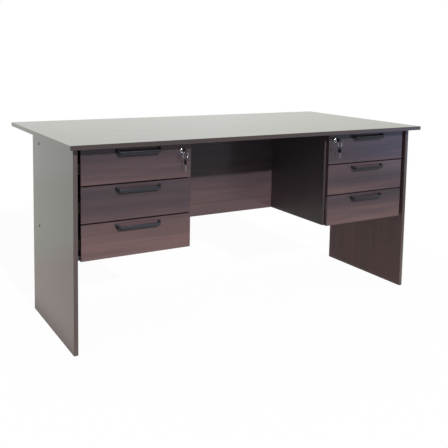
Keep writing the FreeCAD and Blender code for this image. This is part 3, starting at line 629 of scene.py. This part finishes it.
class DESK_OT_handles(bpy.types.Operator):
    """Bends the six bow handles and sets the screws that hold them"""
    bl_idname = "desk.handles"
    bl_label = "Handles"

    def execute(self, context):
        look = context.scene.desk.handle
        # Cast zinc under dark slate stoving enamel: satin and cool, with a grey highlight painted along its upper
        # edges, strongest towards the desk's ends.
        enamel = speckled("Slate stoving enamel on zinc", look.dark, look.light, 0.7, 0.02, 0.1, look.rubbed,
                          Roughness=0.28, IOR=1.6)
        zinc = zinc_plate()
        strips, places, head = strip_tree(), places_tree(), cross_head(*HANDLE_SCREW)
        splay = (look.foot_span - look.bar_span) / 2 / look.reach
        bar_y = look.strip / 2 - look.reach
        foot_x = look.foot_span / 2 - look.leg / 2
        # The feet run past the drawer front's face, and are then cut flush with it.
        past = 0.3 * look.reach
        for drawer in DRAWERS:
            low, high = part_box(f"{drawer}_front")
            sign = SIGN[drawer.split("_")[0]]
            foot = Vector(((low[0] + high[0]) / 2, low[1], high[2] - look.drop))
            ends = [(foot_x + splay * past, past), (foot_x + splay * bar_y, bar_y)]
            path = bpy.data.meshes.new("path")
            path.from_pydata([(-x, y, 0) for x, y in ends] + [(x, y, 0) for x, y in reversed(ends)],
                             [(0, 1), (1, 2), (2, 3)], [])
            bow = grown(strips, path, {"Wide": look.strip, "Deep": look.height, "Edge": look.edge,
                                       "Bend": look.bend + look.strip / 2, "Material": enamel})
            # A painted highlight on the upward-facing rounded edges, strongest towards the desk's ends.
            rub = bow.attributes.new("rub", "FLOAT", "POINT")
            for item, vertex in zip(rub.data, bow.vertices):
                up = max(vertex.normal.z, 0.0) ** 2
                outwards = sign * vertex.co.x / look.bar_span
                toward_ends = min(max((outwards - HIGHLIGHT_START) / HIGHLIGHT_BLEND, 0.0), 1.0)
                item.value = 4 * up * (1 - up) * (HIGHLIGHT_LEAST + (1 - HIGHLIGHT_LEAST) * toward_ends)
            bow.transform(Matrix.Translation(foot) @ Matrix.Rotation(look.tilt, 4, "X"))
            self.trim(bow, foot)
            piece(bow, f"{drawer}_bow_handle", drawer, "handle_enamel", f"{drawer}_handle")
            seats = [((foot.x + x, high[1], foot.z), (0, 1, 0))
                     for x in (look.screw_inset - look.foot_span / 2, look.foot_span / 2 - look.screw_inset)]
            piece(set_at(places, head, seats, zinc), f"{drawer}_handle_screws", drawer, "zinc_plated_steel")
        return {"FINISHED"}

    def trim(self, mesh, foot):
        """Cuts the feet flush with the drawer front."""
        bm = bmesh.new()
        bm.from_mesh(mesh)
        bmesh.ops.remove_doubles(bm, verts=bm.verts, dist=0.001 * MM)
        cut = bmesh.ops.bisect_plane(bm, geom=bm.verts[:] + bm.edges[:] + bm.faces[:], plane_co=foot,
                                     plane_no=(0, 1, 0), clear_outer=True)["geom_cut"]
        bmesh.ops.edgenet_fill(bm, edges=[e for e in cut if isinstance(e, bmesh.types.BMEdge)])
        bmesh.ops.recalc_face_normals(bm, faces=bm.faces)
        bm.to_mesh(mesh)
        bm.free()
        soften(mesh)


class DESK_OT_locks(bpy.types.Operator):
    """Turns the lock shells and their nuts, and finishes the plugs"""
    bl_idname = "desk.locks"
    bl_label = "Locks"

    def execute(self, context):
        # Die-cast zinc with bright chrome plating: mirror-like, with faint handling haze.
        chrome = speckled("Bright chrome plating", "#d2d3d5", "#e0e1e3", 2.0, 0.02, 0.1, Metallic=1.0, Roughness=0.2)
        outwards = Matrix.Rotation(QUARTER_TURN, 4, "X")
        # The shell's profile: radius, and height off the drawer front's face, in millimetres.
        bore, barrel, back = 5.05, 8.0, -24.0
        profile = [(bore, 1.9), (5.4, 2.3), (5.9, 2.5), (6.4, 2.4), (9.6, 0.75), (10.2, 0.4), (10.5, 0.0),
                   (barrel, 0.0), (barrel, back), (bore, back)]
        nut_radius, nut_thick, nut_eased, nut_place = 10.0, 4.0, 0.3, -18.0
        for side in SIDES:
            low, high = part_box(f"{side}_lock_housing")
            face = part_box(f"{side}_upper_drawer_front")[0][1]
            seat = Matrix.Translation(((low[0] + high[0]) / 2, face, (low[2] + high[2]) / 2)) @ outwards
            shell = turned([(r * MM, h * MM) for r, h in profile], 40, ring=True)
            nut = stamped([circle(nut_radius * MM, 6), circle(barrel * MM, 36)], nut_thick * MM, nut_eased * MM, 1)
            behind = Matrix.Translation((0, 0, nut_place * MM))
            mesh = plain_mesh(joined((shell, seat), (nut, seat @ behind)), f"{side}_lock_shell", chrome)
            piece(mesh, f"{side}_lock_shell", f"{side}_upper_drawer", "lock_chrome", f"{side}_lock_housing")
            dress(chrome, f"{side}_lock_plug")
        return {"FINISHED"}


class DESK_OT_keys(bpy.types.Operator):
    """Moulds and cuts the keys and winds their split rings"""
    bl_idname = "desk.keys"
    bl_label = "Keys and rings"

    def execute(self, context):
        look = context.scene.desk.key
        # Moulded ABS with a fine spark-eroded grain: black and satin.
        plastic = speckled("Black moulded ABS", look.plastic, "#202023", 0.8, wear=0.15, Roughness=0.35)
        # Stamped brass with nickel plating: warm pale metal, brushed by its use in the lock.
        nickel = speckled("Nickel-plated key brass", "#d0cdc7", "#e2dfda", 0.6, 0.1, 0.15, Metallic=1.0,
                          Roughness=0.38)
        # Hardened spring wire with nickel plating: bright, dulled by fine scratches.
        wire = speckled("Nickel-plated spring wire", "#d6d6d6", "#e6e6e6", 1.0, 0.03, 0.1, Metallic=1.0,
                        Roughness=0.34)
        coils = coil_tree()
        coil = {"Turns": look.ring_turns, "Radius": look.ring_radius, "Rise": 0.8 * MM, "Wide": 1.5 * MM,
                "Deep": 0.72 * MM, "Edge": 0.25 * MM, "Material": wire}
        # A key is drawn flat, along X: here X turns into the drawer, and the key stands on edge.
        upright = Matrix(((0, 0, 1, 0), (1, 0, 0, 0), (0, 1, 0, 0), (0, 0, 0, 1)))
        for side in SIDES:
            low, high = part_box(f"{side}_key")
            eye = Vector(((low[0] + high[0]) / 2, low[1] + look.eye_radius, (low[2] + high[2]) / 2))
            self.cut_key(look, Matrix.Translation(eye) @ upright, plastic, nickel, f"{side}_moulded_key",
                         f"{side}_key", f"{side}_key")
            low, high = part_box(f"{side}_spare_key")
            eye = Vector(((low[0] + high[0]) / 2, (low[1] + high[1]) / 2, high[2] - look.eye_radius))
            hung = Matrix.Translation(eye) @ Matrix.Rotation(-QUARTER_TURN, 4, "X") @ upright
            self.cut_key(look, hung, plastic, nickel, f"{side}_moulded_spare_key", f"{side}_key_bunch",
                         f"{side}_spare_key")
            low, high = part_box(f"{side}_key_ring")
            middle = (Vector(low) + Vector(high)) / 2
            ring = grown(coils, bpy.data.meshes.new("start"), coil)
            ring.transform(Matrix.Translation(middle) @ Matrix.Rotation(QUARTER_TURN, 4, "X")
                           @ Matrix.Translation((0, 0, -coil["Rise"] / 2)))
            piece(ring, f"{side}_split_ring", f"{side}_key_bunch", "ring_chrome", f"{side}_key_ring")
        return {"FINISHED"}

    def cut_key(self, look, matrix, plastic, nickel, name, body, node):
        """One key: a moulded grip with an eye and ribs, and a blade with cuts along one edge."""
        rib = 0.2 * MM
        end, wide = look.grip_start + look.grip_length, look.grip_width / 2
        eye = circle(look.eye_radius, 25, math.radians(60), math.radians(300))
        corner = 3 * MM
        round_end = [(end - corner + x, corner - wide + y) for x, y in circle(corner, 5, -QUARTER_TURN, 0)]
        shoulder = [(5.2 * MM, -0.93 * wide), (8 * MM, -wide)]
        lower = shoulder + round_end
        outline = eye + lower + [(x, -y) for x, y in reversed(lower)]
        grip = stamped([outline, circle(look.hole_radius, 28)], look.thickness - 2 * rib, 0.5 * MM)
        shapes = [(grip, matrix)]
        rib_wide, rib_half = 1.1 * MM, 6.05 * MM
        for near in (9.5 * MM, 11.9 * MM, 14.3 * MM):
            far = near + rib_wide
            ridge = [(near, -rib_half), (far, -rib_half), (far, rib_half), (near, rib_half)]
            shapes.append((stamped([ridge], look.thickness, 0.15 * MM, 1), matrix))
        half = look.blade_width / 2
        root, tip = end - corner, end + look.blade_length
        # The cuts: millimetres along the blade, and how much of its half width is left.
        cuts_from = tip - 23 * MM
        cuts = [(3, 1.0), (6, 0.45), (9, 0.7), (12, 0.2), (15, 0.55), (18, 0.35), (21, 0.75)]
        bitted = [(cuts_from + place * MM, left * half) for place, left in cuts]
        blade = [(root, -half), (tip - 2.2 * MM, -half), (tip, -0.3 * half), (tip, 0.2 * half)]
        blade += list(reversed(bitted)) + [(root, half)]
        blank = stamped([blade], look.blade_thickness, 0.15 * MM, 1)
        for face in blank.faces:
            face.material_index = 1
        shapes.append((blank, matrix))
        piece(plain_mesh(joined(*shapes), name, plastic, nickel), name, body, "key_plastic", node)


class DESK_OT_fixings(bpy.types.Operator):
    """Presses the screw caps and finishes the brackets, screws and keepers"""
    bl_idname = "desk.fixings"
    bl_label = "Fixings"

    def execute(self, context):
        dress(zinc_plate(), "modesty_screws", "top_corner_brackets", "bracket_screws", "lock_keepers")
        # Moulded polyethylene caps: dark brown, satin, with a fine mould grain.
        brown = speckled("Brown moulded polyethylene", "#221a18", "#2b211e", 0.8, wear=0.1, Roughness=0.45)
        low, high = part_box("screw_caps")
        radius = (high[1] - low[1]) / 2
        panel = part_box("right_end_panel")[1][0]
        rise = high[0] - panel
        cap = plain_mesh(turned([(r * radius, h * rise) for r, h in CAP_DOME], 28), "cap")
        seats = [((sign * panel, low[1] + radius, z), (sign, 0, 0))
                 for sign in (-1, 1) for z in (low[2] + radius, high[2] - radius)]
        caps = set_at(places_tree(), cap, seats, brown)
        piece(caps, "domed_screw_caps", "desk", "cap_plastic", "screw_caps")
        return {"FINISHED"}


class DESK_OT_stage(bpy.types.Operator):
    """Makes the floor, the light and the camera"""
    bl_idname = "desk.stage"
    bl_label = "Stage"

    def execute(self, context):
        stage = context.scene.desk.stage
        self.make_camera(context, stage)
        self.make_sun(context, stage)
        self.make_world(context, stage)
        self.make_floor(context)
        context.scene.view_settings.view_transform = "Standard"
        return {"FINISHED"}

    def make_camera(self, context, stage):
        data = bpy.data.cameras.new("Camera")
        data.sensor_width, data.lens, data.shift_y = 36.0, stage.lens, stage.rise
        camera = bpy.data.objects.new("Camera", data)
        context.scene.collection.objects.link(camera)
        ahead = Vector((math.sin(stage.yaw) * math.cos(stage.pitch), math.cos(stage.yaw) * math.cos(stage.pitch),
                        -math.sin(stage.pitch)))
        right = Vector((math.cos(stage.yaw), -math.sin(stage.yaw), 0.0))
        up = right.cross(ahead)
        across = math.cos(stage.roll) * right + math.sin(stage.roll) * up
        above = math.cos(stage.roll) * up - math.sin(stage.roll) * right
        turn = Matrix((across, above, -ahead)).transposed().to_4x4()
        camera.matrix_world = Matrix.Translation(stage.eye) @ turn
        context.scene.camera = camera

    def make_sun(self, context, stage):
        data = bpy.data.lights.new("Key light", "SUN")
        data.energy, data.angle = stage.sun, stage.sun_size
        sun = bpy.data.objects.new("Key light", data)
        context.scene.collection.objects.link(sun)
        sun.rotation_euler = (QUARTER_TURN - stage.sun_height, 0.0, 0.0)

    def make_world(self, context, stage):
        world = bpy.data.worlds.new("Studio")
        world.use_nodes = True
        context.scene.world = world
        tree = world.node_tree
        tree.nodes.clear()
        path = add(tree, "ShaderNodeLightPath").outputs
        way = add(tree, "ShaderNodeTexCoord").outputs["Generated"]
        axes = add(tree, "ShaderNodeSeparateXYZ", {0: way}).outputs
        # A pale wall behind the desk and a dim room in front of it, brighter towards its right: bluish low down there
        # and grey above.
        behind = add(tree, "ShaderNodeMapRange", {0: axes[1], 1: -0.55, 2: 0.15}, interpolation_type="SMOOTHSTEP")
        rightward = add(tree, "ShaderNodeMapRange", {0: axes[0], 1: 0.6, 2: 0.74}, interpolation_type="SMOOTHSTEP")
        upward = add(tree, "ShaderNodeMapRange", {0: axes[2], 1: 0.0, 2: 0.15}, interpolation_type="SMOOTHSTEP")
        bright = add(tree, "ShaderNodeMix", {0: upward.outputs[0], 6: BLUE_ROOM, 7: GREY_ROOM}, data_type="RGBA")
        room = add(tree, "ShaderNodeMix", {0: rightward.outputs[0], 6: DIM_ROOM, 7: bright.outputs[2]},
                   data_type="RGBA")
        # The wall is brightest straight behind, and brighter higher up.
        round_room = add(tree, "ShaderNodeMapRange", {0: axes[0], 1: -0.2, 2: 0.8})
        wall = add(tree, "ShaderNodeValToRGB", {"Fac": round_room.outputs[0]}, WALL_LIGHT)
        lift = add(tree, "ShaderNodeMapRange", {0: axes[2], 1: 0.04, 2: 0.2, 3: 0.97, 4: 1.17})
        lifted = add(tree, "ShaderNodeVectorMath", {0: wall.outputs[0], "Scale": lift.outputs[0]}, operation="SCALE")
        seen = add(tree, "ShaderNodeMix", {0: behind.outputs[0], 6: room.outputs[2], 7: lifted.outputs[0]},
                   data_type="RGBA")
        mirrored = add(tree, "ShaderNodeMath", {0: path["Is Glossy Ray"], 1: path["Is Transmission Ray"]},
                       operation="MAXIMUM")
        even = (stage.room, stage.room, 1.04 * stage.room, 1)
        soft = add(tree, "ShaderNodeMix", {0: mirrored.outputs[0], 6: even, 7: seen.outputs[2]}, data_type="RGBA")
        shown = add(tree, "ShaderNodeMix", {0: path["Is Camera Ray"], 6: soft.outputs[2], 7: WHITE}, data_type="RGBA")
        sky = add(tree, "ShaderNodeBackground", {"Color": shown.outputs[2], "Strength": 1.0})
        add(tree, "ShaderNodeOutputWorld", {"Surface": sky.outputs[0]})

    def make_floor(self, context):
        half = 3.0
        mesh = bpy.data.meshes.new("Floor")
        mesh.from_pydata([(-half, -half, 0), (half, -half, 0), (half, half, 0), (-half, half, 0)], [], [(0, 1, 2, 3)])
        floor = bpy.data.objects.new("Floor", mesh)
        context.scene.collection.objects.link(floor)
        material = bpy.data.materials.new("Pale studio floor")
        material.use_nodes = True
        tree = material.node_tree
        tree.nodes.clear()
        path = add(tree, "ShaderNodeLightPath").outputs
        shown = add(tree, "ShaderNodeMix", {0: path["Is Camera Ray"], 6: self.mirrored_floor(tree), 7: WHITE},
                    data_type="RGBA")
        matt = add(tree, "ShaderNodeBsdfDiffuse", {"Color": linear("#f0eeea")})
        white = add(tree, "ShaderNodeEmission", {"Color": shown.outputs[2], "Strength": 1.03})
        # Seen straight or in gloss, the floor mostly glows in these colours, and keeps a trace of the shadow.
        glossy = add(tree, "ShaderNodeMath", {0: path["Is Glossy Ray"], 1: path["Is Transmission Ray"]},
                     operation="MAXIMUM")
        both = add(tree, "ShaderNodeMath", {0: glossy.outputs[0], 1: path["Is Camera Ray"]}, operation="MAXIMUM")
        plain = add(tree, "ShaderNodeMath", {0: both.outputs[0], 1: 0.92}, operation="MULTIPLY")
        pale = add(tree, "ShaderNodeMixShader", {0: plain.outputs[0], 1: matt.outputs[0], 2: white.outputs[0]})
        add(tree, "ShaderNodeOutputMaterial", {"Surface": pale.outputs[0]})
        mesh.materials.append(material)

    def mirrored_floor(self, tree):
        """The floor's light as the boards mirror it: pale behind the desk, shaded under it and dim in front of it,
        with a lit patch there."""
        place = add(tree, "ShaderNodeTexCoord").outputs["Object"]
        axes = add(tree, "ShaderNodeSeparateXYZ", {0: place}).outputs
        # Each zone's axis, and where along it, in metres, the zone begins and is full.
        zones = {"behind": (1, -1.1, -0.35), "far": (1, 0.6, 1.2), "beyond": (1, 1.6, 2.0), "near": (1, -1.1, -0.75),
                 "leftward": (0, 0.7, 0.2), "within": (0, -0.5, -0.4)}
        share_of = {name: add(tree, "ShaderNodeMapRange", {0: axes[axis], 1: begin, 2: full},
                              interpolation_type="SMOOTHSTEP").outputs[0]
                    for name, (axis, begin, full) in zones.items()}
        sweep_light = add(tree, "ShaderNodeMix", {0: share_of["far"], 6: NEAR_SWEEP, 7: FAR_SWEEP}, data_type="RGBA")
        # The shaded part is as wide as the desk, and a little wider behind it.
        across = add(tree, "ShaderNodeMath", {0: axes[0]}, operation="ABSOLUTE")
        spread = add(tree, "ShaderNodeMapRange", {0: axes[1], 1: 0.8, 2: 1.0, 4: 0.12},
                     interpolation_type="SMOOTHSTEP")
        inwards = add(tree, "ShaderNodeMath", {0: across.outputs[0], 1: spread.outputs[0]}, operation="SUBTRACT")
        beside = add(tree, "ShaderNodeMapRange", {0: inwards.outputs[0], 1: 0.7, 2: 0.85},
                     interpolation_type="SMOOTHSTEP")
        clear = add(tree, "ShaderNodeMath", {0: beside.outputs[0], 1: share_of["beyond"]}, operation="MAXIMUM")
        shaded = add(tree, "ShaderNodeMix", {0: clear.outputs[0], 6: SHADED_FLOOR, 7: sweep_light.outputs[2]},
                     data_type="RGBA")
        lit = share_of["near"]
        for name in ("leftward", "within"):
            lit = add(tree, "ShaderNodeMath", {0: lit, 1: share_of[name]}, operation="MULTIPLY").outputs[0]
        ahead = add(tree, "ShaderNodeMix", {0: lit, 6: DIM_FLOOR, 7: LIT_FLOOR}, data_type="RGBA")
        return add(tree, "ShaderNodeMix", {0: share_of["behind"], 6: ahead.outputs[2], 7: shaded.outputs[2]},
                   data_type="RGBA").outputs[2]


class DESK_PT_panel(bpy.types.Panel):
    """Lists the steps that finish the desk"""
    bl_idname = "DESK_PT_panel"
    bl_label = "Pedestal desk"
    bl_space_type = "VIEW_3D"
    bl_region_type = "UI"
    bl_category = "Desk"

    def draw(self, context):
        for step in STEPS:
            self.layout.operator(step.bl_idname)
        for group in ("board", "handle", "key", "stage"):
            settings = getattr(context.scene.desk, group)
            box = self.layout.box()
            for name in settings.__annotations__:
                box.prop(settings, name)


STEPS = (DESK_OT_stage, DESK_OT_boards, DESK_OT_drawer_boxes, DESK_OT_runners, DESK_OT_handles, DESK_OT_locks,
         DESK_OT_keys, DESK_OT_fixings)
CLASSES = (BoardLook, HandleLook, KeyLook, StageLook, DeskSettings, *STEPS, DESK_PT_panel)


def register():
    for item in CLASSES:
        bpy.utils.register_class(item)
    bpy.types.Scene.desk = PointerProperty(type=DeskSettings)


def unregister():
    del bpy.types.Scene.desk
    for item in reversed(CLASSES):
        bpy.utils.unregister_class(item)


def main():
    register()
    bpy.ops.desk.stage()
    bpy.ops.desk.boards()
    bpy.ops.desk.drawer_boxes()
    bpy.ops.desk.runners()
    bpy.ops.desk.handles()
    bpy.ops.desk.locks()
    bpy.ops.desk.keys()
    bpy.ops.desk.fixings()


if __name__ == "__main__":
    main()
